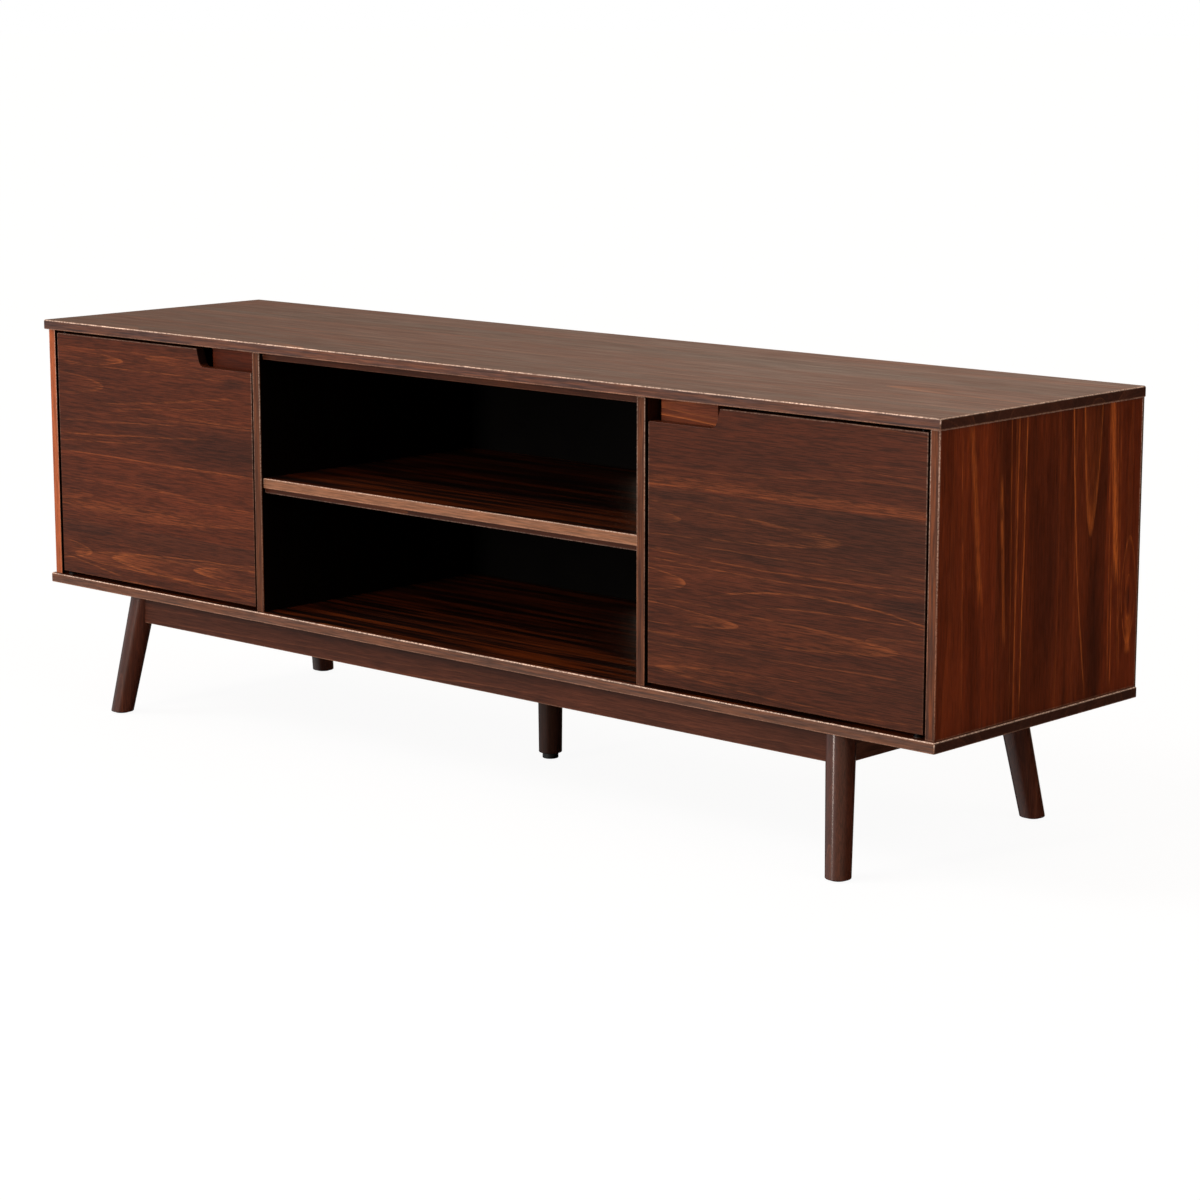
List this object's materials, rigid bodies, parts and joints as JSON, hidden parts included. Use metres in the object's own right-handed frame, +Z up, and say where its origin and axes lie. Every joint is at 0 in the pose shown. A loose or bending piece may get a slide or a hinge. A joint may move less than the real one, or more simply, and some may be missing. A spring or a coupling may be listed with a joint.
{
  "type": "console television cabinet",
  "caption": "Low television console in stained solid pine: open centre bay with a shelf, inset pivot doors with finger notches, splayed round legs.",
  "frame": {"origin": "on the floor, in the middle of the cabinet", "axes": "+X to the right along the cabinet, -Y out of the front, +Z up"},
  "size_m": [1.778, 0.4704, 0.619],
  "materials": {
    "carcass_wood": "walnut-stained solid pine boards, satin lacquer",
    "door_wood": "walnut-stained edge-glued pine, satin lacquer",
    "base_wood": "walnut-stained turned pine, satin lacquer",
    "raw_wood": "unstained sawn pine",
    "black_board": "black hardboard, smooth face inside",
    "plated_steel": "nickel-plated steel",
    "zinc_steel": "zinc-plated steel",
    "black_steel": "black oxide steel",
    "brown_nylon": "dark brown nylon",
    "black_plastic": "moulded black plastic, faint sheen",
    "clear_rubber": "soft grey rubber",
    "felt": "dark brown needle felt"
  },
  "bodies": {
    "root": {"apron_back": "base_wood", "apron_front": "base_wood", "apron_left": "base_wood", "apron_right": "base_wood", "apron_screws": "zinc_steel", "back_panel_center": "black_board", "back_panel_left": "black_board", "back_panel_right": "black_board", "back_panel_screws": "black_steel", "bottom_panel": "carcass_wood", "carcass_dowels": "raw_wood", "carcass_screws": "zinc_steel", "catch_magnets": "plated_steel", "center_leg": "base_wood", "center_leg_bolt": "plated_steel", "center_leg_plate": "plated_steel", "center_leg_plate_screws": "zinc_steel", "center_shelf": "carcass_wood", "center_shelf_dowels": "raw_wood", "center_stretcher": "raw_wood", "corner_block_back_left": "raw_wood", "corner_block_back_right": "raw_wood", "corner_block_front_left": "raw_wood", "corner_block_front_right": "raw_wood", "corner_block_screws": "zinc_steel", "divider_left": "carcass_wood", "divider_right": "carcass_wood", "door_bumpers": "clear_rubber", "inner_shelf_left": "carcass_wood", "inner_shelf_right": "carcass_wood", "leg_back_left": "base_wood", "leg_back_right": "base_wood", "leg_front_left": "base_wood", "leg_front_right": "base_wood", "leg_glides": "felt", "leveller_insert": "zinc_steel", "lower_pivot_bushes": "brown_nylon", "shelf_front_batten": "carcass_wood", "shelf_pins_left": "plated_steel", "shelf_pins_right": "plated_steel", "side_panel_left": "carcass_wood", "side_panel_right": "carcass_wood", "stop_block_left": "carcass_wood", "stop_block_right": "carcass_wood", "top_front_batten": "carcass_wood", "top_panel": "carcass_wood", "upper_pivot_bushes": "brown_nylon"},
    "left_door": {"door_left": "door_wood", "pivot_pins_left": "black_steel", "strike_plate_left": "plated_steel", "strike_screw_left": "plated_steel"},
    "right_door": {"door_right": "door_wood", "pivot_pins_right": "black_steel", "strike_plate_right": "plated_steel", "strike_screw_right": "plated_steel"},
    "leveller": {"leveller_foot": "black_plastic", "leveller_stud": "plated_steel"}
  },
  "joints": [
    {"name": "right_door_hinge", "type": "hinge", "parent": "root", "child": "right_door", "pos_m": [0.8528, -0.213, 0.406], "axis": [0, 0, 1], "range_deg": [0, 110]},
    {"name": "left_door_hinge", "type": "hinge", "parent": "root", "child": "left_door", "pos_m": [-0.8528, -0.213, 0.406], "axis": [0, 0, -1], "range_deg": [0, 110]},
    {"name": "leveller_travel", "type": "slide", "parent": "root", "child": "leveller", "axis": [0, 0, 1], "range_m": [-0.004, 0.0008]}
  ]
}
